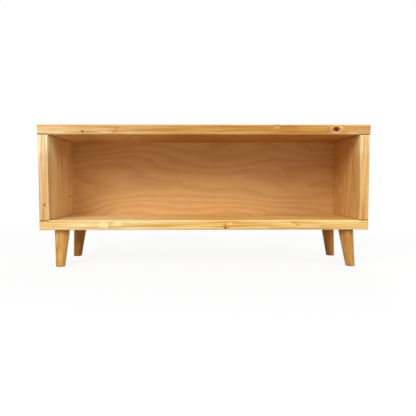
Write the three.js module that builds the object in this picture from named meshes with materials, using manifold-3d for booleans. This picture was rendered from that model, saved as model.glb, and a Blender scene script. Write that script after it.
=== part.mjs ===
// Storage stand: a long, low case of four thick pine boards, open at the front and closed behind
// by a plywood panel in a rebate, on four turned, tapered legs that splay out towards the ends.
// Lengths are in millimetres, +Z is up and the front faces -Y. The origin is on the floor, under
// the middle of the case.

import * as THREE from "three";
import { mergeVertices } from "three/addons/utils/BufferGeometryUtils.js";
import Module from "manifold-3d";

// Case boards. The top and bottom boards run the full width, with the side boards between them.
const BAY_WIDTH = 1200; // clear width inside
const BAY_HEIGHT = 330; // clear height inside
const CASE_DEPTH = 350;
const BOARD_THICKNESS = 38;
const EDGE_EASE = 4; // radius sanded onto each board's long edges
const END_EASE = 1; // chamfer round its ends
const TOP_OVERHANG = 1.5; // top board past each side board
const GLUE_LINE = 0.2; // left between faces that are glued or screwed up tight
const HOLE_PLAY = 0.3; // round each dowel, screw, insert and bolt in its hole

// Fluted dowels in the four butt joints.
const DOWEL_RADIUS = 5;
const DOWEL_LENGTH = 40;
const DOWEL_CHAMFER = 1;
const DOWEL_FLUTE = 0.4; // depth of each flute
const DOWELS_PER_JOINT = 3;
const DOWEL_MARGIN = 55; // outer dowels, from the front and the back of the case

// Back panel, in a rebate round the back of the bay.
const PANEL_THICKNESS = 9;
const PANEL_PLAY = 0.5; // between the panel's edges and the rebate
const REBATE_WIDTH = 12; // from the bay into each board
const REBATE_DEPTH = 10; // from the back of the case forwards
const PANEL_SCREW_LENGTH = 25;
const PANEL_SCREW_RADIUS = 1.75;
const PANEL_SCREW_HEAD = 3.5; // head radius
const PANEL_SCREW_INSET = 5.5; // from the panel's edges
const PANEL_SCREW_MARGIN = 45; // end screws of each row, from the panel's ends
const PANEL_SCREWS_PER_ROW = 5;

// Turned legs.
const LEG_HEIGHT = 149; // floor to the underside of the case
const FRONT_LEFT_SPLAY = 4; // degrees that a leg leans towards its end of the case, as fitted by hand
const FRONT_RIGHT_SPLAY = 8;
const REAR_SPLAY = 6;
const LEG_TOP_RADIUS = 29;
const LEG_FOOT_RADIUS = 18;
const LEG_TOP_EASE = 1;
const LEG_FOOT_EASE = 1;
const LEG_END_INSET = 75; // top of the leg's axis, from the end of the case
const LEG_FACE_INSET = 45; // the same, from the front or the back of the case

// Threaded insert in the bottom board over each leg, and the hanger bolt that joins the leg to it.
const BOLT_RADIUS = 4;
const BOLT_RISE = 15; // above the leg
const BOLT_DEPTH = 40; // down inside the leg
const BOLT_POINT = 6;
const INSERT_RADIUS = 6.5;
const INSERT_LENGTH = 18;
const INSERT_SINK = 1; // let in above the underside of the board
const INSERT_FLUTE = 0.7; // depth of each groove in its outside
const INSERT_ROOM = 2; // over it, in the board

// Screw heads and points.
const SCREW_POINT = 4;
const RECESS_DEPTH = 1.4; // cross recess in a screw head
const RECESS_WIDTH = 1;
const RECESS_REACH = 0.5; // half length of its arms, as a share of the head radius

// How finely round shapes are drawn.
const EASE_STEPS = 3;
const LEG_SIDES = 32;
const ROUND_SIDES = 12;
const OVERSHOOT = 5; // cutters run this far past the face that they cut

// Where things are.
const CASE_WIDTH = BAY_WIDTH + 2 * BOARD_THICKNESS;
const BAY_FLOOR = LEG_HEIGHT + BOARD_THICKNESS;
const BAY_MIDDLE = BAY_FLOOR + BAY_HEIGHT / 2;
const BAY_CEILING = BAY_FLOOR + BAY_HEIGHT;
const REBATE_SHOULDER = CASE_DEPTH / 2 - REBATE_DEPTH;
const PANEL_WIDTH = BAY_WIDTH + 2 * (REBATE_WIDTH - PANEL_PLAY);
const PANEL_HEIGHT = BAY_HEIGHT + 2 * (REBATE_WIDTH - PANEL_PLAY);
const PANEL_FRONT = REBATE_SHOULDER + GLUE_LINE;
const PANEL_BACK = PANEL_FRONT + PANEL_THICKNESS;
const LEG_TOP = -GLUE_LINE; // in a leg's own frame, where the case's underside is at 0
const CORNERS = [
  { name: "front_left", outward: -1, forward: -1, splay: FRONT_LEFT_SPLAY },
  { name: "front_right", outward: 1, forward: -1, splay: FRONT_RIGHT_SPLAY },
  { name: "rear_left", outward: -1, forward: 1, splay: REAR_SPLAY },
  { name: "rear_right", outward: 1, forward: 1, splay: REAR_SPLAY },
];

const FINISHES = {
  pine: { color: 0xe0b070, roughness: 0.5, metalness: 0 },
  plywood: { color: 0xcfa468, roughness: 0.6, metalness: 0 },
  leg: { color: 0xc68f4e, roughness: 0.45, metalness: 0 },
  beech: { color: 0xd8b98c, roughness: 0.7, metalness: 0 },
  steel: { color: 0xa7a9ab, roughness: 0.4, metalness: 0.9 },
  brass: { color: 0xc4a254, roughness: 0.35, metalness: 0.9 },
};

const wasm = await Module();
wasm.setup();

const stand = new THREE.Group();

function addMesh(parent, name, geometry, finish) {
  const mesh = new THREE.Mesh(geometry, new THREE.MeshStandardMaterial(FINISHES[finish]));
  mesh.name = name;
  parent.add(mesh);
  return mesh;
}

// A closed geometry as a solid, with its shared vertices merged.
function solidOf(geometry) {
  const bare = geometry.clone();
  bare.deleteAttribute("normal");
  bare.deleteAttribute("uv");
  const merged = mergeVertices(bare);
  return new wasm.Manifold(
    new wasm.Mesh({
      numProp: 3,
      vertProperties: merged.attributes.position.array,
      triVerts: new Uint32Array(merged.index.array),
    }),
  );
}

function geometryOf(solid) {
  const { vertProperties, triVerts } = solid.getMesh();
  const geometry = new THREE.BufferGeometry();
  geometry.setAttribute("position", new THREE.BufferAttribute(vertProperties, 3));
  geometry.setIndex(new THREE.BufferAttribute(triVerts, 1));
  geometry.computeVertexNormals();
  return geometry;
}

function cut(blank, cutters) {
  return geometryOf(cutters.map(solidOf).reduce((rest, next) => rest.subtract(next), solidOf(blank)));
}

// A solid of revolution about Z, from [radius, height] points that start and end on the axis.
function turned(points, sides) {
  const profile = points.map(([radius, height]) => new THREE.Vector2(radius, height));
  return new THREE.LatheGeometry(profile, sides).rotateX(Math.PI / 2);
}

function rod(radius, low, high) {
  return turned([[0, low], [radius, low], [radius, high], [0, high]], ROUND_SIDES);
}

// Points of a quarter circle that eases a rim, from its end face to its side.
function easedRim(radius, end, ease) {
  const inward = Math.abs(ease);
  const points = [];
  for (let step = 0; step <= EASE_STEPS; step++) {
    const turn = (step / EASE_STEPS) * (Math.PI / 2);
    points.push([radius - inward * (1 - Math.sin(turn)), end + ease * (1 - Math.cos(turn))]);
  }
  return points;
}

// Places from one end of a length to the other, evenly spaced between two margins.
function spread(length, margin, count) {
  const reach = length - 2 * margin;
  return Array.from({ length: count }, (_, i) => -reach / 2 + (reach * i) / (count - 1));
}

// A countersunk wood screw, with its head at the origin and its point along +Z.
function screw(radius, head, length) {
  const neck = head - radius;
  const shaft = [[0, 0], [head, 0], [radius, neck], [radius, length - SCREW_POINT], [0, length]];
  const arms = [0, Math.PI / 2].map((turn) =>
    new THREE.BoxGeometry(2 * RECESS_REACH * head, RECESS_WIDTH, 2 * RECESS_DEPTH).rotateZ(turn),
  );
  return cut(turned(shaft, ROUND_SIDES), arms);
}

// The hole that a screw sits in, with its countersink open behind the head.
function screwHole(radius, head, length) {
  const hole = radius + HOLE_PLAY;
  const sink = head + HOLE_PLAY;
  const end = length + HOLE_PLAY;
  const countersink = [[0, -OVERSHOOT], [sink, -OVERSHOOT], [sink, 0]];
  const bore = [[hole, sink - hole], [hole, end], [0, end]];
  return turned([...countersink, ...bore], ROUND_SIDES);
}

// Straight grooves down the outside of a turned geometry: every other edge is drawn in, from the
// radius where the outside starts.
function fluted(geometry, outside, depth) {
  const places = geometry.attributes.position;
  const side = (2 * Math.PI) / ROUND_SIDES;
  for (let i = 0; i < places.count; i++) {
    const radius = Math.hypot(places.getX(i), places.getY(i));
    const spoke = Math.round(Math.atan2(places.getY(i), places.getX(i)) / side);
    if (radius < outside || spoke % 2 === 0) continue;
    const shrink = (radius - depth) / radius;
    places.setXY(i, places.getX(i) * shrink, places.getY(i) * shrink);
  }
  return geometry;
}

// A dowel along Z, centred on the origin, with chamfered ends and straight flutes.
function dowel() {
  const half = DOWEL_LENGTH / 2;
  const tip = DOWEL_RADIUS - DOWEL_CHAMFER;
  const body = half - DOWEL_CHAMFER;
  const lower = [[0, -half], [tip, -half], [DOWEL_RADIUS, -body]];
  const upper = [[DOWEL_RADIUS, body], [tip, half], [0, half]];
  return fluted(turned([...lower, ...upper], ROUND_SIDES), DOWEL_RADIUS / 2, DOWEL_FLUTE);
}

// Every dowel's name and place: three in each corner of the case.
function dowelPlaces() {
  const places = [];
  const reach = BAY_WIDTH / 2 + BOARD_THICKNESS / 2;
  for (const [level, z] of [["top", BAY_CEILING], ["bottom", BAY_FLOOR]]) {
    for (const [side, x] of [["left", -reach], ["right", reach]]) {
      spread(CASE_DEPTH, DOWEL_MARGIN, DOWELS_PER_JOINT).forEach((y, i) => {
        places.push({ name: `${level}_${side}_dowel_${i + 1}`, at: new THREE.Vector3(x, y, z) });
      });
    }
  }
  return places;
}

// Every back panel screw's place: a row along the top, one along the bottom and one at each end.
function panelScrewPlaces() {
  const row = spread(PANEL_WIDTH, PANEL_SCREW_MARGIN, PANEL_SCREWS_PER_ROW);
  const up = PANEL_HEIGHT / 2 - PANEL_SCREW_INSET;
  const along = PANEL_WIDTH / 2 - PANEL_SCREW_INSET;
  const places = [...row.map((x) => [x, up]), ...row.map((x) => [x, -up]), [-along, 0], [along, 0]];
  return places.map(([x, z]) => new THREE.Vector3(x, PANEL_BACK, BAY_MIDDLE + z));
}

// Each leg's name, lean and frame: its origin is on the underside of the case, and +X is the way
// that it leans.
function legPlaces() {
  return CORNERS.map(({ name, outward, forward, splay }) => {
    const group = new THREE.Group();
    group.position.x = outward * (CASE_WIDTH / 2 - LEG_END_INSET);
    group.position.y = forward * (CASE_DEPTH / 2 - LEG_FACE_INSET);
    group.position.z = LEG_HEIGHT;
    group.rotation.z = outward > 0 ? 0 : Math.PI;
    group.updateMatrix();
    return { name, group, lean: THREE.MathUtils.degToRad(splay) };
  });
}

const DOWELS = dowelPlaces();
const PANEL_SCREWS = panelScrewPlaces();
const LEGS = legPlaces();

function panelScrewHoles() {
  const hole = screwHole(PANEL_SCREW_RADIUS, PANEL_SCREW_HEAD, PANEL_SCREW_LENGTH).rotateX(Math.PI / 2);
  return PANEL_SCREWS.map((at) => hole.clone().translate(at.x, at.y, at.z));
}

function dowelHoles() {
  const half = DOWEL_LENGTH / 2 + HOLE_PLAY;
  const hole = rod(DOWEL_RADIUS + HOLE_PLAY, -half, half);
  return DOWELS.map(({ at }) => hole.clone().translate(at.x, at.y, at.z));
}

// The rebate that the back panel lies in, cut into all four boards at once.
function rebate() {
  const width = BAY_WIDTH + 2 * REBATE_WIDTH;
  const height = BAY_HEIGHT + 2 * REBATE_WIDTH;
  const depth = REBATE_DEPTH + OVERSHOOT;
  const block = new THREE.BoxGeometry(width, depth, height);
  return block.translate(0, REBATE_SHOULDER + depth / 2, BAY_MIDDLE);
}

// Anything drawn along Z about a leg's axis, turned to lie along the leaning leg.
function alongLeg(geometry, lean) {
  return geometry.rotateY(-lean);
}

// The holes in the bottom board that the threaded inserts are driven into.
function insertHoles() {
  const high = INSERT_SINK + INSERT_LENGTH + INSERT_ROOM;
  return LEGS.map(({ group, lean }) => {
    const hole = alongLeg(rod(INSERT_RADIUS + HOLE_PLAY, -OVERSHOOT, high), lean);
    return hole.applyMatrix4(group.matrix);
  });
}

// A board along Z, centred on the origin, with its thickness along X and its width along Y.
function boardBlank(length) {
  const inner = { x: BOARD_THICKNESS / 2 - EDGE_EASE, y: CASE_DEPTH / 2 - EDGE_EASE };
  const section = new THREE.Shape();
  [[1, 1], [-1, 1], [-1, -1], [1, -1]].forEach(([x, y], i) => {
    const start = (i * Math.PI) / 2;
    section.absarc(x * inner.x, y * inner.y, EDGE_EASE, start, start + Math.PI / 2);
  });
  const depth = length - 2 * END_EASE;
  const chamfer = { bevelThickness: END_EASE, bevelSize: END_EASE, bevelOffset: -END_EASE };
  const how = { depth, curveSegments: EASE_STEPS, bevelSegments: 1, ...chamfer };
  return new THREE.ExtrudeGeometry(section, how).translate(0, 0, -depth / 2);
}

// One board of the case, with whatever of the shared cutters reaches it taken out.
function addBoard(name, blank, centre, cutters) {
  const placed = blank.translate(centre.x, centre.y, centre.z);
  const board = cut(placed, cutters).translate(-centre.x, -centre.y, -centre.z);
  addMesh(stand, name, board, "pine").position.copy(centre);
}

function addBoards() {
  const cutters = [rebate(), ...dowelHoles(), ...panelScrewHoles(), ...insertHoles()];
  const half = BOARD_THICKNESS / 2;
  const side = BAY_WIDTH / 2 + half;
  const upright = boardBlank(BAY_HEIGHT - 2 * GLUE_LINE);
  const top = boardBlank(CASE_WIDTH + 2 * TOP_OVERHANG).rotateY(Math.PI / 2);
  const bottom = boardBlank(CASE_WIDTH).rotateY(Math.PI / 2);
  addBoard("top_board", top, new THREE.Vector3(0, 0, BAY_CEILING + half), cutters);
  addBoard("bottom_board", bottom, new THREE.Vector3(0, 0, BAY_FLOOR - half), cutters);
  addBoard("left_side_board", upright.clone(), new THREE.Vector3(-side, 0, BAY_MIDDLE), cutters);
  addBoard("right_side_board", upright, new THREE.Vector3(side, 0, BAY_MIDDLE), cutters);
}

function addDowels() {
  const geometry = dowel();
  for (const { name, at } of DOWELS) {
    addMesh(stand, name, geometry, "beech").position.copy(at);
  }
}

function addBackPanel() {
  const centre = new THREE.Vector3(0, PANEL_FRONT + PANEL_THICKNESS / 2, BAY_MIDDLE);
  const sheet = new THREE.BoxGeometry(PANEL_WIDTH, PANEL_THICKNESS, PANEL_HEIGHT);
  const placed = sheet.translate(centre.x, centre.y, centre.z);
  const panel = cut(placed, panelScrewHoles()).translate(-centre.x, -centre.y, -centre.z);
  addMesh(stand, "back_panel", panel, "plywood").position.copy(centre);
}

function addPanelScrews() {
  const geometry = screw(PANEL_SCREW_RADIUS, PANEL_SCREW_HEAD, PANEL_SCREW_LENGTH);
  PANEL_SCREWS.forEach((at, i) => {
    const mesh = addMesh(stand, `back_panel_screw_${i + 1}`, geometry, "steel");
    mesh.position.copy(at);
    mesh.rotation.x = Math.PI / 2;
  });
}

// The bolt's hole, which ends blind inside the leg.
function boltHole(lean) {
  return alongLeg(rod(BOLT_RADIUS + HOLE_PLAY, -BOLT_DEPTH - HOLE_PLAY, OVERSHOOT), lean);
}

// A leg, level at its top and its foot: each level of the turning is shifted out by the lean.
function leg(lean) {
  const points = [[0, -LEG_HEIGHT], ...easedRim(LEG_FOOT_RADIUS, -LEG_HEIGHT, LEG_FOOT_EASE)];
  points.push(...easedRim(LEG_TOP_RADIUS, LEG_TOP, -LEG_TOP_EASE).reverse(), [0, LEG_TOP]);
  const shift = new THREE.Matrix4().makeShear(0, 0, 0, 0, -Math.tan(lean), 0);
  return cut(turned(points, LEG_SIDES).applyMatrix4(shift), [boltHole(lean)]);
}

// A grooved sleeve, bored for the hanger bolt.
function threadedInsert(lean) {
  const bore = BOLT_RADIUS + HOLE_PLAY;
  const high = INSERT_SINK + INSERT_LENGTH;
  const outside = [[INSERT_RADIUS, INSERT_SINK], [INSERT_RADIUS, high]];
  const sleeve = turned([[bore, INSERT_SINK], ...outside, [bore, high], [bore, INSERT_SINK]], ROUND_SIDES);
  return alongLeg(fluted(sleeve, (bore + INSERT_RADIUS) / 2, INSERT_FLUTE), lean);
}

function hangerBolt(lean) {
  const point = [[0, -BOLT_DEPTH], [BOLT_RADIUS, BOLT_POINT - BOLT_DEPTH]];
  const shank = [[BOLT_RADIUS, BOLT_RISE], [0, BOLT_RISE]];
  return alongLeg(turned([...point, ...shank], ROUND_SIDES), lean);
}

function addLegs() {
  for (const { name, group, lean } of LEGS) {
    stand.add(group);
    addMesh(group, `${name}_leg`, leg(lean), "leg");
    addMesh(group, `${name}_threaded_insert`, threadedInsert(lean), "brass");
    addMesh(group, `${name}_hanger_bolt`, hangerBolt(lean), "steel");
  }
}

addBoards();
addDowels();
addBackPanel();
addPanelScrews();
addLegs();

export default stand;
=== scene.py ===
"""The storage stand's looks: oiled pine, a plywood back, beech dowels, zinc-plated steel and brass.

Lengths are in metres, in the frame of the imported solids: +Z is up and the front faces -Y.
"""

import math

import bmesh
import bpy
from mathutils import Matrix, Vector


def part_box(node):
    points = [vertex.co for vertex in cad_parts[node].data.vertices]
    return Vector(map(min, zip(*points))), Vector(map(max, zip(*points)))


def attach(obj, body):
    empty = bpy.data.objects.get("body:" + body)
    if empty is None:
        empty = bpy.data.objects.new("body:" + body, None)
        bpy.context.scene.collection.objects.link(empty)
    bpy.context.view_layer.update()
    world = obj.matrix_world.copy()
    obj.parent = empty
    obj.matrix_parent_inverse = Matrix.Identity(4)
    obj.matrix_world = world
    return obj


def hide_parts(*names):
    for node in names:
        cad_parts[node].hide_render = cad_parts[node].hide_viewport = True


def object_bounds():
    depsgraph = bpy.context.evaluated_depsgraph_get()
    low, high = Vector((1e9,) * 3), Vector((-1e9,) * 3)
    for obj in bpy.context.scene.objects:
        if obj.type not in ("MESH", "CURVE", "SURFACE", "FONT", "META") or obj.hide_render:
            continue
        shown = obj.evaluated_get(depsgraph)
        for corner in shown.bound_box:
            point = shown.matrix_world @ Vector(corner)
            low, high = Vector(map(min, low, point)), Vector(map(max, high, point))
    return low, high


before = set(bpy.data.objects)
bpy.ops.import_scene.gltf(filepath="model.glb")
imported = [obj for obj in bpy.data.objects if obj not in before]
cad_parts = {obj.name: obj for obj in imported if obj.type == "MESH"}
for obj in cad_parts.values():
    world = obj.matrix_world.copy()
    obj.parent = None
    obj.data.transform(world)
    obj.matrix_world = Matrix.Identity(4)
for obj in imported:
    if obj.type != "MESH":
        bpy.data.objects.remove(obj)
cad_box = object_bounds()


def srgb(red, green, blue):
    """A colour written as 0 to 255 values, as linear RGBA, by the sRGB standard's own curve."""
    channels = (value / 255 for value in (red, green, blue))
    linear = [c / 12.92 if c <= 0.04045 else ((c + 0.055) / 1.055) ** 2.4 for c in channels]
    return (*linear, 1.0)


BODY = "root"
X, Y, Z = 0, 1, 2
CORNERS = ("front_left", "front_right", "rear_left", "rear_right")
LEVEL = 1e-5  # corners closer than this in height are level
MERGE = 1e-6  # corners closer than this are one
FLAT_ANGLE = math.radians(0.5)  # faces that meet at less than this are one
SMOOTH_ANGLE = math.radians(32)  # and at less than this they shade as one
MIX_INPUTS = (0, 6, 7)  # the Mix node's sockets for the share and the two colours
MIX_OUTPUT = 2  # and for the mixed colour

# The camera, fitted to the photograph's edges.
PHOTO_PX = 416  # the photograph is square
FOCAL_PX = 439.9
SENSOR = 36.0  # millimetres, as Blender counts it
CAMERA_BACK = 1.699  # in front of the case
CAMERA_SIDE = -0.006
CAMERA_HEIGHT = 0.330
CAMERA_PITCH = 0.0563  # radians, downwards
CAMERA_YAW = 0.0114  # radians, to the right
CAMERA_ROLL = -0.0005

# Light.
WORLD_STRENGTH = 0.42
FLOOR_SIZE = 40.0
FLOOR_BOUNCE = srgb(176, 174, 170)  # the floor's colour for the light that it throws back
FLOOR_SEEN = srgb(245, 245, 245)  # and for the camera
FLOOR_WHITENESS = 0.88  # how far the floor that is seen is lifted to plain white, near the stand
FLOOR_FADE = (0.9, 3.0)  # where that share climbs to all of it, from the stand's middle
LAMPS = {  # place, target, size and power
    "key": ((-1.8, -3.2, 2.6), (0.0, 0.0, 0.35), 2.2, 120.0),
    "fill": ((3.0, -2.5, 1.9), (0.0, 0.0, 0.35), 2.2, 66.0),
    "rear": ((0.9, 3.4, 2.4), (0.0, 0.0, 0.35), 2.2, 70.0),
}


# ---------------------------------------------------------------- node graphs


class Graph:
    """One material's nodes, built by short calls. A value is a number, a vector or a socket."""

    def __init__(self, name):
        self.material = bpy.data.materials.new(name)
        self.material.use_nodes = True
        self.tree = self.material.node_tree
        self.shader = self.tree.nodes["Principled BSDF"]
        self.output = self.tree.nodes["Material Output"]
        self.place = self.node("ShaderNodeTexCoord").outputs["Object"]
        self.normal = self.node("ShaderNodeNewGeometry").outputs["Normal"]

    def node(self, kind, **settings):
        node = self.tree.nodes.new(kind)
        for key, value in settings.items():
            setattr(node, key, value)
        return node

    def put(self, socket, value):
        if isinstance(value, bpy.types.NodeSocket):
            self.tree.links.new(value, socket)
        else:
            socket.default_value = value

    def math(self, operation, *values):
        node = self.node("ShaderNodeMath", operation=operation)
        for socket, value in zip(node.inputs, values):
            self.put(socket, value)
        return node.outputs[0]

    def add(self, *values):
        total = values[0]
        for value in values[1:]:
            total = self.math("ADD", total, value)
        return total

    def times(self, *values):
        total = values[0]
        for value in values[1:]:
            total = self.math("MULTIPLY", total, value)
        return total

    def vector(self, operation, *values):
        node = self.node("ShaderNodeVectorMath", operation=operation)
        for socket, value in zip(node.inputs, values):
            self.put(socket, value)
        return node.outputs["Value" if operation == "LENGTH" else "Vector"]

    def split(self, vector):
        node = self.node("ShaderNodeSeparateXYZ")
        self.put(node.inputs[0], vector)
        return tuple(node.outputs)

    def join(self, *values):
        node = self.node("ShaderNodeCombineXYZ")
        for socket, value in zip(node.inputs, values):
            self.put(socket, value)
        return node.outputs[0]

    def noise(self, vector, detail=2.0, output="Fac"):
        """Noise one unit across, from 0 to 1."""
        node = self.node("ShaderNodeTexNoise")
        self.put(node.inputs["Vector"], vector)
        self.put(node.inputs["Scale"], 1.0)
        self.put(node.inputs["Detail"], detail)
        return node.outputs[output]

    def swing(self, vector, size, detail=2.0):
        """Noise from -size/2 to size/2."""
        return self.times(self.math("SUBTRACT", self.noise(vector, detail), 0.5), size)

    def rise(self, value, low, high, start=0.0, end=1.0):
        """A smooth step from start, at low, to end, at high."""
        node = self.node("ShaderNodeMapRange", interpolation_type="SMOOTHSTEP")
        for socket, number in zip(node.inputs, (value, low, high, start, end)):
            self.put(socket, number)
        return node.outputs[0]

    def hump(self, value, low, full, still, high):
        """A smooth rise from 0, at low, to 1, at full, and a fall from 1, at still, to 0, at high."""
        return self.times(self.rise(value, low, full), self.rise(value, still, high, 1.0, 0.0))

    def line(self, value, low, high):
        """A straight climb from 0, at low, to 1, at high."""
        node = self.node("ShaderNodeMapRange")
        for socket, number in zip(node.inputs, (value, low, high)):
            self.put(socket, number)
        return node.outputs[0]

    def mix(self, share, first, second, blend="MIX"):
        node = self.node("ShaderNodeMix", data_type="RGBA", blend_type=blend)
        for index, value in zip(MIX_INPUTS, (share, first, second)):
            self.put(node.inputs[index], value)
        return node.outputs[MIX_OUTPUT]

    def tint(self, share, colour, tint):
        """A colour multiplied by a tint, as far as share says."""
        return self.mix(share, colour, self.mix(1.0, colour, tint, "MULTIPLY"))

    def shade(self, colour, level):
        """A colour multiplied by a number."""
        return self.mix(1.0, colour, self.join(level, level, level), "MULTIPLY")

    def blend(self, share, first, second):
        """One shader over another."""
        node = self.node("ShaderNodeMixShader")
        for socket, value in zip(node.inputs, (share, first, second)):
            self.put(socket, value)
        return node.outputs[0]

    def ramp(self, value, stops):
        """Grey levels at places from 0 to 1, joined smoothly."""
        node = self.node("ShaderNodeValToRGB")
        ramp = node.color_ramp
        ramp.interpolation = "EASE"
        while len(ramp.elements) < len(stops):
            ramp.elements.new(0.5)
        for element, (place, level) in zip(ramp.elements, stops):
            element.position = place
            element.color = (level, level, level, 1.0)
        self.put(node.inputs[0], value)
        return node.outputs[0]

    def bump(self, height, distance, strength):
        node = self.node("ShaderNodeBump")
        self.put(node.inputs["Height"], height)
        self.put(node.inputs["Distance"], distance)
        self.put(node.inputs["Strength"], strength)
        self.put(self.shader.inputs["Normal"], node.outputs[0])

    def finish(self, **values):
        """Sets the shader's sockets, by name."""
        for name, value in values.items():
            self.put(self.shader.inputs[name.replace("_", " ")], value)
        return self.material


# ---------------------------------------------------------------- wood

# A pace is how fast a noise changes for each metre. Where it has three numbers, they are along the
# grain, across it and through it.

# Growth rings.
RING = 0.0042  # from one to the next
RING_JITTER = 1.5  # rings
JITTER_PACE = 55.0  # for each metre of radius
JITTER_SLICE = 7.0  # of the noise
WAVE_PACE = (4.0, 14.0, 14.0)
RING_WAVE = 0.005  # how far the rings swing in and out
RAKE = 0.012  # how fast the rings taper along the grain
PITH_PACE = 1.4  # for each metre along the grain
PITH_WANDER = (0.0, 0.03, 0.035)  # how far it wanders across and through the board
PLANK_STEP = 5.3  # in the noise, from a board's front plank to its rear one
NO_SEAM = 1.0  # a place across that is past every leg
LATE_BAND = (0.15, 0.9, 0.93, 1.0)  # of a ring: latewood starts, is full, is still full, and ends
FAINTEST_RING = 0.4

# The colour of clean wood. A tint is what the colour is multiplied by.
LATE_TINT = srgb(214, 168, 118)
FACE_CONTRAST = 0.6  # of the rings, on the long faces
END_CONTRAST = 0.95
END_FACE = (0.6, 0.9)  # of the normal along the grain, from a long face to the end grain
END_TINT = srgb(234, 210, 180)
FRONT_STRIP = 0.09  # how far behind the front edge a side board's tones reach, their paler top partly painted light from above
PATCH_PACE = (2.6, 9.0, 12.0)
PATCH_SWING = 0.5
PATCH_DETAIL = 3.0
STREAK_PACE = (5.0, 180.0, 180.0)
STREAK_BAND = (0.35, 0.7)  # of the noise
STREAK_TINT = srgb(226, 198, 160)
FIBRE_PACE = (14.0, 520.0, 520.0)
FIBRE_BAND = (0.2, 0.8)  # of the noise
FIBRE_SHADE = (0.94, 1.05)

# Edges, and painted shade at joints and feet.
SEAM_TINT = srgb(170, 140, 110)
SEAM_WIDTH = 0.0005
SEAM_DEPTH = 0.7
JOINT_SHADE_TINT = srgb(150, 100, 50)  # painted shade: the dark lines at joints, in the grooves along them and at the feet
JOINT_WIDTH = 0.0014  # at the ends of a board that stands between two others
LINE_CORE = 0.3  # how much of a dark line's width is at its darkest
GROOVE_SHADE_DEPTH = 0.65  # of the painted shade, in the groove that a rounded edge leaves along a joint
# Painted shade at the foot of each leg, where it meets the floor.
FOOT_SHADE = 0.007
FOOT_SHADE_DEPTH = 0.35
EDGE_CORE = 0.4  # how much of the painted shade's width, in a groove or at a foot, is at its darkest
ARRIS = 0.0045  # how far from the corner the long edges are rubbed pale
ARRIS_WEAR = 0.7

# Surface.
WOOD_SHEEN = 0.12
WOOD_ROUGHNESS = 0.46
LATE_ROUGHNESS = -0.10
FIBRE_ROUGHNESS = 0.12
GRAIN_RELIEF = 0.0002
WOOD_BUMP = 0.6

# Knots and other marks. Bands and edges are distances from a mark's middle, in its half sizes.
KNOT_HEART = srgb(66, 28, 0)
KNOT_RIM = srgb(134, 80, 12)
KNOT_BARK = srgb(92, 48, 12)
KNOT_TINT = srgb(222, 172, 106)
KNOT_RINGS = 4
KNOT_RING_DEPTH = 0.16
CORE_EDGE = (0.75, 1.15)
HEART_EDGE = (0.2, 1.0)
BARK_BAND = (0.7, 0.95, 0.95, 1.3)
TINT_EDGE = (0.9, 1.4)
HALO_BAND = (1.05, 1.5, 1.5, 2.3)
FLECK_EDGE = (0.3, 1.2)
RAGGED_PACE = (90.0, 90.0, 90.0)
RAGGED_SWING = 0.5  # of a mark's size


def mark_distance(g, place, mark):
    """Distance from a mark's middle, which is 1 at the edge of its core."""
    weights = [1 / half for half in mark["halves"]]
    away = g.vector("SUBTRACT", place, mark["at"])
    if mark["tilt"]:
        turn = g.node("ShaderNodeVectorRotate", rotation_type="Y_AXIS")
        g.put(turn.inputs["Vector"], away)
        g.put(turn.inputs["Angle"], math.radians(mark["tilt"]))
        away = turn.outputs[0]
    ragged = g.add(1.0, g.swing(g.vector("MULTIPLY", place, RAGGED_PACE), RAGGED_SWING, detail=1.0))
    return g.times(g.vector("LENGTH", g.vector("MULTIPLY", away, weights)), ragged)


def growth_rings(g, place, spec, distances):
    """Latewood, from 0 to 1: rings round a wandering pith, one pith for each plank across."""
    along, across, thick = g.split(place)
    rear = g.math("GREATER_THAN", across, spec.get("seam", NO_SEAM))
    (front_across, front_thick), (rear_across, rear_thick) = spec["piths"]
    pith_across = g.math("MULTIPLY_ADD", rear, rear_across - front_across, front_across)
    pith_thick = g.math("MULTIPLY_ADD", rear, rear_thick - front_thick, front_thick)
    lane = g.math("MULTIPLY_ADD", rear, PLANK_STEP, spec["seed"])
    drift = g.noise(g.join(g.times(along, PITH_PACE), lane, 0.0), detail=1.0, output="Color")
    wander = g.vector("MULTIPLY", g.vector("SUBTRACT", drift, (0.5, 0.5, 0.5)), PITH_WANDER)
    offset = g.join(0.0, g.math("SUBTRACT", across, pith_across), g.math("SUBTRACT", thick, pith_thick))
    radius = g.vector("LENGTH", g.vector("ADD", offset, wander))
    radius = g.add(radius, g.times(along, RAKE))
    radius = g.add(radius, g.swing(g.vector("MULTIPLY", place, WAVE_PACE), RING_WAVE))
    for mark, distance in zip(spec["marks"], distances):
        share = g.times(distance, 1 / mark["reach"])
        radius = g.add(radius, g.times(g.math("EXPONENT", g.times(share, share, -1.0)), mark["push"]))
    jitter = g.noise(g.join(g.times(radius, JITTER_PACE), lane, JITTER_SLICE), detail=1.0)
    count = g.add(g.math("DIVIDE", radius, RING), g.times(jitter, RING_JITTER))
    strength = g.node("ShaderNodeTexWhiteNoise", noise_dimensions="1D")
    g.put(strength.inputs["W"], g.math("FLOOR", g.add(count, lane)))
    late = g.hump(g.math("FRACT", count), *LATE_BAND)
    return g.times(late, g.rise(strength.outputs[0], 0.0, 1.0, FAINTEST_RING, 1.0))


def wood_tone(g, place, spec):
    """The share of pale wood: the tones along the grain, and patches."""
    along, across, _ = g.split(place)
    half, half_across, _ = spec["halves"]
    tone = g.ramp(g.line(along, -half, half), spec["tones"])
    if "rest" in spec:
        near = g.rise(across, -half_across, FRONT_STRIP - half_across, 1.0, 0.0)
        tone = g.math("MULTIPLY_ADD", g.math("SUBTRACT", tone, spec["rest"]), near, spec["rest"])
    patch = g.vector("MULTIPLY_ADD", place, PATCH_PACE, (0.0, 0.0, spec["seed"]))
    patch = g.swing(patch, PATCH_SWING, PATCH_DETAIL)
    return g.add(tone, patch, g.times(across, -spec.get("fade", 0.0)))


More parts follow.
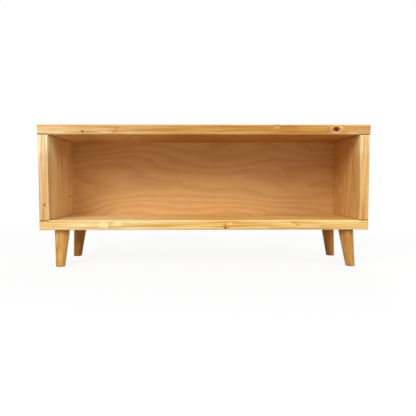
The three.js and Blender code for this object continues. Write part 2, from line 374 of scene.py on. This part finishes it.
def paint_mark(g, colour, distance, mark, pale):
    """A mark's parts, each as strong as the mark says.

    They are the pale wood round a knot, the browned wood, the dark core and the bark at its edge.
    A core under 0 is a pale patch.
    """
    if mark["halo"]:
        colour = g.mix(g.times(g.hump(distance, *HALO_BAND), mark["halo"]), colour, pale)
    if mark["brown"]:
        colour = g.tint(g.rise(distance, *TINT_EDGE, mark["brown"], 0.0), colour, KNOT_TINT)
    if mark["core"] > 0:
        core = g.rise(distance, *CORE_EDGE, mark["core"], 0.0)
        year = g.times(g.math("SINE", g.times(distance, KNOT_RINGS * math.tau)), KNOT_RING_DEPTH)
        heart = g.add(g.rise(distance, *HEART_EDGE), year)
        colour = g.mix(core, colour, g.mix(heart, KNOT_HEART, KNOT_RIM))
    if mark["core"] < 0:
        colour = g.mix(g.rise(distance, *FLECK_EDGE, -mark["core"], 0.0), colour, pale)
    if mark["bark"]:
        colour = g.mix(g.times(g.hump(distance, *BARK_BAND), mark["bark"]), colour, KNOT_BARK)
    return colour


def paint_edges(g, colour, place, spec):
    """Long edges rubbed pale, and painted shade: dark lines where boards meet, in the grooves along the
    joints and at the feet.
    """
    along, across, thick = g.split(place)
    half, half_across, half_thick = spec["halves"]
    out = g.math("ABSOLUTE", along)
    worn = g.times(g.rise(g.math("ABSOLUTE", across), half_across - ARRIS, half_across),
                   g.rise(g.math("ABSOLUTE", thick), half_thick - ARRIS, half_thick))
    if "inner" in spec:
        edge = g.rise(g.times(thick, spec["inner"]), half_thick - ARRIS, half_thick - EDGE_CORE * ARRIS)
        # Painted shade in the groove along a joint, with no rubbed edge there.
        dark = g.times(g.math("GREATER_THAN", out, spec["bay"]), edge, GROOVE_SHADE_DEPTH)
        worn = g.times(worn, g.math("SUBTRACT", 1.0, dark))
    elif "jointed" in spec:
        # Painted shade: a dark line at each end, where the board meets another.
        dark = g.rise(out, half - JOINT_WIDTH, half - LINE_CORE * JOINT_WIDTH)
    else:
        # Painted shade at the foot, where the leg meets the floor.
        dark = g.rise(along, EDGE_CORE * FOOT_SHADE - half, FOOT_SHADE - half, FOOT_SHADE_DEPTH, 0.0)
    colour = g.mix(g.times(worn, spec.get("wear", ARRIS_WEAR)), colour, spec["pale"])
    return g.tint(dark, colour, JOINT_SHADE_TINT)


def wood(name, axes, centre, spec):
    """Solid wood. The axes are those along the grain, across it and through it."""
    g = Graph(name)
    shifted = g.vector("SUBTRACT", g.place, centre)
    if "lean" in spec:
        shift = g.times(g.split(shifted)[Z], spec["lean"])
        shifted = g.vector("SUBTRACT", shifted, g.join(shift, 0.0, 0.0))
    parts = g.split(shifted)
    place = g.join(*(parts[axis] for axis in axes))
    distances = [mark_distance(g, place, mark) for mark in spec["marks"]]
    late = growth_rings(g, place, spec, distances)
    end = g.rise(g.math("ABSOLUTE", g.split(g.normal)[axes[0]]), *END_FACE)
    early = g.mix(wood_tone(g, place, spec), spec["deep"], spec["pale"])
    face_contrast = spec.get("contrast", FACE_CONTRAST)
    contrast = g.math("MULTIPLY_ADD", end, END_CONTRAST - face_contrast, face_contrast)
    colour = g.tint(g.times(late, contrast), early, LATE_TINT)
    streak = g.rise(g.noise(g.vector("MULTIPLY", place, STREAK_PACE)), *STREAK_BAND)
    colour = g.tint(g.times(streak, g.math("SUBTRACT", 1.0, end)), colour, STREAK_TINT)
    fibre = g.noise(g.vector("MULTIPLY", place, FIBRE_PACE))
    colour = g.shade(colour, g.rise(fibre, *FIBRE_BAND, *FIBRE_SHADE))
    for mark, distance in zip(spec["marks"], distances):
        colour = paint_mark(g, colour, distance, mark, spec["pale"])
    if "seam" in spec:
        away = g.math("ABSOLUTE", g.math("SUBTRACT", parts[axes[1]], spec["seam"]))
        line = g.rise(away, LINE_CORE * SEAM_WIDTH, SEAM_WIDTH, SEAM_DEPTH, 0.0)
        colour = g.tint(line, colour, SEAM_TINT)
    colour = paint_edges(g, g.tint(end, colour, END_TINT), place, spec)
    roughness = g.add(g.times(late, LATE_ROUGHNESS), g.times(fibre, FIBRE_ROUGHNESS), WOOD_ROUGHNESS)
    g.bump(g.add(g.times(late, 0.5), g.times(fibre, 0.5)), GRAIN_RELIEF, WOOD_BUMP)
    return g.finish(Base_Color=colour, Roughness=roughness, Specular_IOR_Level=WOOD_SHEEN)


def knot(at, halves, core, brown=0.6, halo=0.3, bark=0.3, push=0.008, tilt=0, reach=2.2):
    """A knot. It pushes the growth rings aside by push, out to reach times its half sizes."""
    return {
        "at": at,
        "halves": halves,
        "core": core,
        "brown": brown,
        "halo": halo,
        "bark": bark,
        "push": push,
        "tilt": tilt,
        "reach": reach,
    }


def spot(at, halves, core, tilt=0):
    """A dark core in clean wood."""
    return knot(at, halves, core, brown=0.0, halo=0.0, bark=0.0, push=0.0, tilt=tilt)


def fleck(at, halves, share, tilt=0):
    """A pale patch."""
    return spot(at, halves, -share, tilt)


def smear(at, halves, share, push=0.0, tilt=0):
    """A brown patch."""
    return knot(at, halves, core=0.0, brown=share, halo=0.0, bark=0.0, push=push, tilt=tilt)


# Each board's wood:
# - axes: those along the grain, across it and through the board
# - inner: for a board over or under the bay, the way through it that the bay lies, where its edge has
#   painted shade in the grooves along the joints
# - jointed: the board stands between two others, and has a dark line of painted shade at each end
# - seed: the slice of the noise that it shows
# - seam: where its two planks meet, across, and piths: the front and the rear one's, across and through
# - pale and deep: its two colours, and tones: the share of pale from one end of the grain to the other
# - fade: how much of that share goes for each metre from the board's middle towards the back
# - rest: the share behind the front strip, in place of the tones
# - contrast and wear: of its rings and its edges, where they aren't the usual ones
# - marks: their places and half sizes are along, across and through the board, from its middle, and
#   their tilts are in degrees, up to the right as seen from the front
FRONT = (cad_box[0][Y] - cad_box[1][Y]) / 2  # the front face, across from a board's middle
BOARDS = {
    "top_board": {
        "axes": (X, Y, Z),
        "inner": -1,
        "seed": 1.7,
        "seam": 0.004,
        "piths": ((-0.105, -0.055), (0.095, 0.070)),
        "pale": srgb(248, 223, 173),
        "deep": srgb(203, 152, 75),
        "tones": ((0.0, 0.8), (0.06, 0.7), (0.1, 0.42), (0.14, 0.34), (0.18, 0.48), (0.26, 0.5),
                  (0.32, 0.26), (0.45, 0.03), (0.72, 0.1), (0.85, 0.12), (1.0, 0.18)),
        "marks": [
            smear((0.478, FRONT, -0.005), (0.015, 0.008, 0.003), 0.45, tilt=20),
            fleck((0.529, FRONT, 0.007), (0.016, 0.008, 0.0024), 0.4, tilt=-35),
            fleck((0.509, FRONT, -0.0095), (0.016, 0.008, 0.0026), 0.5, tilt=5),
            fleck((0.565, FRONT, -0.013), (0.030, 0.008, 0.0030), 0.35),
            knot((0.507, FRONT, 0.0012), (0.0120, 0.045, 0.0092), 1.0, 0.6, 0.2, 0.2, 0.012, reach=2.0),
            knot((-0.4662, FRONT, -0.0080), (0.0058, 0.05, 0.0032), 1.0, 0.6, 0.15, 0.5, 0.003),
            fleck((0.279, FRONT, 0.0095), (0.013, 0.008, 0.0075), 0.25),
            smear((0.325, FRONT, 0.002), (0.034, 0.010, 0.015), 0.35),
            spot((0.279, FRONT, 0.0172), (0.013, 0.020, 0.0038), 0.85),
            fleck((-0.381, FRONT, -0.0100), (0.034, 0.008, 0.0040), 0.45),
            smear((-0.341, FRONT, -0.002), (0.016, 0.008, 0.0034), 0.4, 0.004, tilt=45),
            knot((-0.31, -0.06, 0.0), (0.011, 0.009, 0.09), 0.7),
            knot((0.12, 0.09, 0.0), (0.013, 0.011, 0.1), 0.7),
            knot((0.42, -0.04, 0.0), (0.007, 0.006, 0.06), 0.7),
            knot((-0.52, 0.10, 0.0), (0.008, 0.007, 0.07), 0.7),
        ],
    },
    "bottom_board": {
        "axes": (X, Y, Z),
        "inner": 1,
        "seed": 6.1,
        "seam": -0.006,
        "piths": ((-0.110, 0.050), (0.080, -0.066)),
        "pale": srgb(255, 237, 179),
        "deep": srgb(237, 183, 66),
        "tones": ((0.0, 0.6), (0.08, 0.72), (0.14, 1.0), (0.26, 1.0), (0.32, 0.7), (0.45, 0.5),
                  (0.55, 0.38), (0.66, 0.52), (1.0, 0.5)),
        "marks": [
            fleck((0.100, FRONT, 0.005), (0.012, 0.008, 0.006), 0.4),
            smear((0.395, FRONT, 0.0085), (0.055, 0.008, 0.0045), 0.35, 0.003, tilt=-2),
            smear((0.352, FRONT, 0.0070), (0.015, 0.008, 0.0036), 0.5, 0.004, tilt=-25),
            fleck((0.400, FRONT, -0.0070), (0.060, 0.008, 0.0050), 0.4),
            smear((0.0795, FRONT, -0.006), (0.0060, 0.008, 0.0090), 0.6, 0.006),
            spot((0.0815, FRONT, -0.0110), (0.0048, 0.008, 0.0055), 0.7),
            spot((0.0920, FRONT, -0.0100), (0.0060, 0.008, 0.0028), 0.45, tilt=-50),
            fleck((-0.387, FRONT, 0.002), (0.032, 0.008, 0.016), 0.7),
            spot((-0.3816, FRONT, 0.0110), (0.0070, 0.008, 0.0018), 0.22, tilt=-25),
            smear((-0.3666, FRONT, -0.0014), (0.0060, 0.008, 0.010), 0.4, 0.004),
            fleck((-0.336, FRONT, 0.0050), (0.024, 0.008, 0.011), 0.6),
            knot((0.20, 0.05, 0.0), (0.011, 0.009, 0.09), 0.7),
            knot((-0.28, -0.09, 0.0), (0.008, 0.007, 0.07), 0.7),
            knot((-0.45, 0.08, 0.0), (0.012, 0.010, 0.1), 0.7),
        ],
    },
    "left_side_board": {
        "axes": (Z, Y, X),
        "jointed": True,
        "seed": 11.4,
        "fade": 0.6,
        "contrast": 0.3,
        "wear": 0.2,
        "seam": 0.002,
        "piths": ((-0.100, -0.034), (0.070, 0.060)),
        "pale": srgb(251, 240, 203),
        "deep": srgb(219, 161, 74),
        # Paler towards the top: partly the wood's tone and partly painted light falling from above.
        "tones": ((0.0, 0.38), (0.5, 0.24), (0.7, 0.42), (0.86, 0.96), (1.0, 1.0)),
        "rest": 0.38,
        "marks": [
            knot((-0.1055, FRONT, 0.0027), (0.0052, 0.05, 0.0046), 0.6, 0.4, 0.0, 0.0, 0.004),
            knot((0.07, 0.03, -0.019), (0.012, 0.010, 0.03), 0.7),
            knot((-0.08, 0.11, 0.0), (0.007, 0.006, 0.06), 0.7),
        ],
    },
    "right_side_board": {
        "axes": (Z, Y, X),
        "jointed": True,
        "seed": 17.9,
        "fade": 0.6,
        "contrast": 0.3,
        "wear": 0.2,
        "seam": -0.003,
        "piths": ((-0.115, 0.034), (0.090, -0.072)),
        "pale": srgb(251, 232, 182),
        "deep": srgb(216, 155, 52),
        # Paler towards the top: partly the wood's tone and partly painted light falling from above.
        "tones": ((0.0, 0.12), (0.5, 0.24), (0.7, 0.38), (0.86, 0.72), (1.0, 0.79)),
        "rest": 0.36,
        "marks": [
            knot((-0.031, FRONT, -0.008), (0.0022, 0.03, 0.0018), 0.3, 0.3, 0.0, 0.0, 0.002),
            knot((-0.05, 0.06, 0.019), (0.011, 0.009, 0.03), 0.7),
            knot((0.10, -0.09, 0.019), (0.008, 0.007, 0.02), 0.7),
        ],
    },
}

LEG_TONES_AND_PAINTED_LIGHT = {  # pith place, and the pale and the deep tone. The front-left leg is paler, as painted light from the key lamp's side, and the rear legs are darker, as painted shade under the case
    "front_left": ((0.045, 0.030), srgb(244, 206, 128), srgb(216, 166, 88)),
    "front_right": ((-0.040, 0.040), srgb(226, 178, 108), srgb(200, 150, 80)),
    "rear_left": ((0.030, -0.050), srgb(212, 160, 86), srgb(188, 134, 62)),
    "rear_right": ((-0.050, -0.025), srgb(212, 160, 86), srgb(188, 134, 62)),
}
LEG_SEED = 23.0
LEG_SEED_STEP = 3.1


def middle(node):
    low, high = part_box(node)
    return (low + high) / 2


def board_material(node):
    low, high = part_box(node)
    spec = dict(BOARDS[node])
    spec["halves"] = [(high - low)[axis] / 2 for axis in spec["axes"]]
    spec["bay"] = -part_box("left_side_board")[1].x
    return wood(f"oiled_pine_{node}", spec["axes"], middle(node), spec)


def leg_lean(node):
    """How far a leg's axis runs in X for each unit that it climbs."""
    low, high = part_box(node)
    corners = [vertex.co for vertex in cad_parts[node].data.vertices]
    foot = [corner.x for corner in corners if corner.z < low.z + LEVEL]
    top = [corner.x for corner in corners if corner.z > high.z - LEVEL]
    return (min(top) + max(top) - min(foot) - max(foot)) / 2 / (high - low).z


def leg_material(corner):
    node = f"{corner}_leg"
    low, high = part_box(node)
    axes = (Z, X, Y)
    # The tones hold painted light: paler at the front left, darker at the rear.
    pith, pale, deep = LEG_TONES_AND_PAINTED_LIGHT[corner]
    spec = {
        "seed": LEG_SEED + LEG_SEED_STEP * CORNERS.index(corner),
        "piths": (pith, pith),
        "halves": [(high - low)[axis] / 2 for axis in axes],
        "lean": leg_lean(node),
        "tones": ((0.0, 0.5), (1.0, 0.5)),
        "pale": pale,
        "deep": deep,
        "marks": [],
    }
    return wood(f"oiled_pine_{node}", axes, middle(node), spec)


# ---------------------------------------------------------------- other materials

# Rotary-cut veneer.
VENEER_PALE = srgb(230, 184, 118)
VENEER_DEEP = srgb(216, 164, 96)
VENEER_TONE_PACE = (1.8, 0.0, 4.0)  # in X, Y and Z
DRIFT_PACE = (1.1, 3.6, 0.0)  # along the grain and across it
DRIFT_SLICE = (0.0, 0.0, 3.0)  # of the noise
DRIFT_DETAIL = 1.5
RIPPLE_PACE = (7.0, 34.0, 0.0)  # along the grain and across it
RIPPLE = 0.8  # rings
VENEER_CLIMB = 1.3  # how much the level that the rings follow climbs, for each metre across
VENEER_RINGS = 14.0  # for each unit of that level
VENEER_LATE_BAND = (0.25, 0.85, 0.92, 1.0)
VENEER_CONTRAST = 0.26
VENEER_FIBRE_SHADE = (0.94, 1.04)
VENEER_ROUGHNESS = 0.5
VENEER_FIBRE_ROUGHNESS = 0.15
VENEER_BUMP = 0.4

BEECH_PALE = srgb(232, 204, 160)
BEECH_DEEP = srgb(206, 168, 118)
BEECH_PACE = (700.0, 700.0, 90.0)  # in X, Y and Z
BEECH_DETAIL = 3.0
BEECH_ROUGHNESS = 0.55
BEECH_GRAIN_ROUGHNESS = 0.2
BEECH_RELIEF = 0.0001
BEECH_BUMP = 0.5

ZINC = (srgb(176, 178, 180), srgb(214, 214, 210))  # dull and bright
BRASS = (srgb(190, 150, 84), srgb(222, 184, 112))
CLOUD_PACE = (160.0, 160.0, 160.0)
CLOUD_DETAIL = 4.0
CLOUD_ROUGHNESS = 0.18
SCRATCH_PACE = (2600.0, 300.0, 300.0)  # in X, Y and Z
SCRATCH_ROUGHNESS = 0.08
SCRATCH_RELIEF = 0.00005
METAL_ROUGHNESS = 0.24
METAL_BUMP = 0.4


def plywood():
    """Broad wandering loops, with the grain along the panel."""
    g = Graph("oiled_plywood")
    place = g.vector("SUBTRACT", g.place, middle("back_panel"))
    along, _, across = g.split(place)
    flat = g.join(along, across, 0.0)
    drift = g.noise(g.vector("MULTIPLY_ADD", flat, DRIFT_PACE, DRIFT_SLICE), DRIFT_DETAIL)
    level = g.add(g.times(across, VENEER_CLIMB), drift)
    ripple = g.noise(g.vector("MULTIPLY", flat, RIPPLE_PACE))
    count = g.add(g.times(level, VENEER_RINGS), g.times(ripple, RIPPLE))
    late = g.hump(g.math("FRACT", count), *VENEER_LATE_BAND)
    tone = g.noise(g.vector("MULTIPLY", place, VENEER_TONE_PACE))
    colour = g.mix(tone, VENEER_DEEP, VENEER_PALE)
    colour = g.tint(g.times(late, VENEER_CONTRAST), colour, LATE_TINT)
    fibre = g.noise(g.vector("MULTIPLY", place, FIBRE_PACE))
    colour = g.shade(colour, g.rise(fibre, *FIBRE_BAND, *VENEER_FIBRE_SHADE))
    g.bump(g.add(late, fibre), GRAIN_RELIEF, VENEER_BUMP)
    roughness = g.add(g.times(fibre, VENEER_FIBRE_ROUGHNESS), VENEER_ROUGHNESS)
    return g.finish(Base_Color=colour, Roughness=roughness)


def beech():
    g = Graph("bare_beech")
    grain = g.noise(g.vector("MULTIPLY", g.place, BEECH_PACE), BEECH_DETAIL)
    g.bump(grain, BEECH_RELIEF, BEECH_BUMP)
    roughness = g.add(g.times(grain, BEECH_GRAIN_ROUGHNESS), BEECH_ROUGHNESS)
    return g.finish(Base_Color=g.mix(grain, BEECH_DEEP, BEECH_PALE), Roughness=roughness)


def metal(name, dull, bright):
    g = Graph(name)
    cloud = g.noise(g.vector("MULTIPLY", g.place, CLOUD_PACE), CLOUD_DETAIL)
    scratch = g.noise(g.vector("MULTIPLY", g.place, SCRATCH_PACE))
    g.bump(scratch, SCRATCH_RELIEF, METAL_BUMP)
    roughness = g.add(g.times(cloud, CLOUD_ROUGHNESS), g.times(scratch, SCRATCH_ROUGHNESS), METAL_ROUGHNESS)
    return g.finish(Base_Color=g.mix(cloud, dull, bright), Roughness=roughness, Metallic=1.0)


# ---------------------------------------------------------------- meshes


def settle(piece, material, slot, *nodes):
    """Finishes a piece: smooth shading, its material, its body, and the solids that it stands for."""
    piece.data.shade_smooth()
    piece.data.set_sharp_from_angle(angle=SMOOTH_ANGLE)
    flat = piece.modifiers.new("flat_faces", "WEIGHTED_NORMAL")
    flat.keep_sharp = True
    piece.data.materials.clear()
    piece.data.materials.append(material)
    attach(piece, BODY)
    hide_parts(*nodes)


def new_piece(name, mesh):
    piece = bpy.data.objects.new(name, mesh)
    bpy.context.scene.collection.objects.link(piece)
    return piece


def worked_copy(name, node):
    """A solid's own shape as a new piece, its shared corners joined up so that it can shade smoothly."""
    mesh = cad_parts[node].data.copy()
    shape = bmesh.new()
    shape.from_mesh(mesh)
    bmesh.ops.remove_doubles(shape, verts=shape.verts, dist=MERGE)
    bmesh.ops.dissolve_limit(shape, angle_limit=FLAT_ANGLE, verts=shape.verts, edges=shape.edges)
    shape.to_mesh(mesh)
    shape.free()
    return new_piece(name, mesh)


def add_boards():
    for node in BOARDS:
        piece = worked_copy(f"{node}_oiled", node)
        settle(piece, board_material(node), "pine_board", node)


def add_back_panel():
    piece = worked_copy("back_panel_oiled", "back_panel")
    settle(piece, plywood(), "plywood_panel", "back_panel")


def add_legs():
    for corner in CORNERS:
        node = f"{corner}_leg"
        piece = worked_copy(f"{node}_oiled", node)
        settle(piece, leg_material(corner), "leg_wood", node)


def dress_fastenings():
    zinc = metal("zinc_plated_steel", *ZINC)
    brass = metal("brass", *BRASS)
    dress = {"dowel": beech(), "screw": zinc, "bolt": zinc, "insert": brass}
    for node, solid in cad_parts.items():
        for word, material in dress.items():
            if word in node:
                solid.data.materials.clear()
                solid.data.materials.append(material)


# ---------------------------------------------------------------- stage


def seen(tree):
    """1 for what the camera sees, in a mirror or a glass too, and 0 for the rays that light things."""
    path = tree.nodes.new("ShaderNodeLightPath")
    total = path.outputs["Is Camera Ray"]
    for name in ("Is Glossy Ray", "Is Transmission Ray"):
        node = tree.nodes.new("ShaderNodeMath")
        node.operation = "MAXIMUM"
        tree.links.new(total, node.inputs[0])
        tree.links.new(path.outputs[name], node.inputs[1])
        total = node.outputs[0]
    return total


def add_world():
    world = bpy.data.worlds.new("soft_studio")
    bpy.context.scene.world = world
    world.use_nodes = True
    tree = world.node_tree
    strength = tree.nodes.new("ShaderNodeMapRange")
    tree.links.new(seen(tree), strength.inputs["Value"])
    strength.inputs["To Min"].default_value = WORLD_STRENGTH
    strength.inputs["To Max"].default_value = 1.0
    background = tree.nodes["Background"]
    background.inputs["Color"].default_value = (1.0, 1.0, 1.0, 1.0)
    tree.links.new(strength.outputs[0], background.inputs["Strength"])


def add_floor():
    """A floor that is clear from below, so that the underside can be looked at."""
    mesh = bpy.data.meshes.new("floor")
    half = FLOOR_SIZE / 2
    corners = [(-half, -half, 0), (half, -half, 0), (half, half, 0), (-half, half, 0)]
    mesh.from_pydata(corners, [], [(0, 1, 2, 3)])
    floor = new_piece("floor", mesh)
    g = Graph("pale_floor")
    g.tree.nodes.remove(g.shader)
    matte = g.node("ShaderNodeBsdfDiffuse")
    g.put(matte.inputs["Color"], g.mix(seen(g.tree), FLOOR_BOUNCE, FLOOR_SEEN))
    white = g.node("ShaderNodeEmission")
    share = g.rise(g.vector("LENGTH", g.place), *FLOOR_FADE, FLOOR_WHITENESS, 1.0)
    below = g.node("ShaderNodeNewGeometry").outputs["Backfacing"]
    clear = g.node("ShaderNodeBsdfTransparent")
    top = g.blend(g.times(seen(g.tree), share), matte.outputs[0], white.outputs[0])
    g.put(g.output.inputs["Surface"], g.blend(below, top, clear.outputs[0]))
    mesh.materials.append(g.material)


def add_lamp(name, place, target, size, power):
    data = bpy.data.lights.new(name, "AREA")
    data.shape = "DISK"
    data.size = size
    data.energy = power
    lamp = bpy.data.objects.new(name, data)
    lamp.location = place
    lamp.rotation_mode = "QUATERNION"
    lamp.rotation_quaternion = (Vector(target) - Vector(place)).to_track_quat("-Z", "Y")
    bpy.context.scene.collection.objects.link(lamp)


def add_camera():
    data = bpy.data.cameras.new("camera")
    data.sensor_fit = "HORIZONTAL"
    data.sensor_width = SENSOR
    data.lens = FOCAL_PX / PHOTO_PX * SENSOR
    camera = bpy.data.objects.new("camera", data)
    front = cad_box[0][Y]
    ahead = Vector((math.sin(CAMERA_YAW), math.cos(CAMERA_YAW), 0.0))
    right = Vector((math.cos(CAMERA_YAW), -math.sin(CAMERA_YAW), 0.0))
    up = Vector((0.0, 0.0, 1.0))
    gaze = ahead * math.cos(CAMERA_PITCH) - up * math.sin(CAMERA_PITCH)
    crown = up * math.cos(CAMERA_PITCH) + ahead * math.sin(CAMERA_PITCH)
    side = right * math.cos(CAMERA_ROLL) + crown * math.sin(CAMERA_ROLL)
    crown = crown * math.cos(CAMERA_ROLL) - right * math.sin(CAMERA_ROLL)
    turn = Matrix((side, crown, -gaze)).transposed()
    place = Vector((CAMERA_SIDE, front - CAMERA_BACK, CAMERA_HEIGHT))
    camera.matrix_world = Matrix.Translation(place) @ turn.to_4x4()
    bpy.context.scene.collection.objects.link(camera)
    bpy.context.scene.camera = camera


add_camera()
add_world()
add_floor()
for lamp_name, lamp in LAMPS.items():
    add_lamp(lamp_name, *lamp)
add_boards()
add_back_panel()
add_legs()
dress_fastenings()
bpy.context.scene.view_settings.view_transform = "Standard"
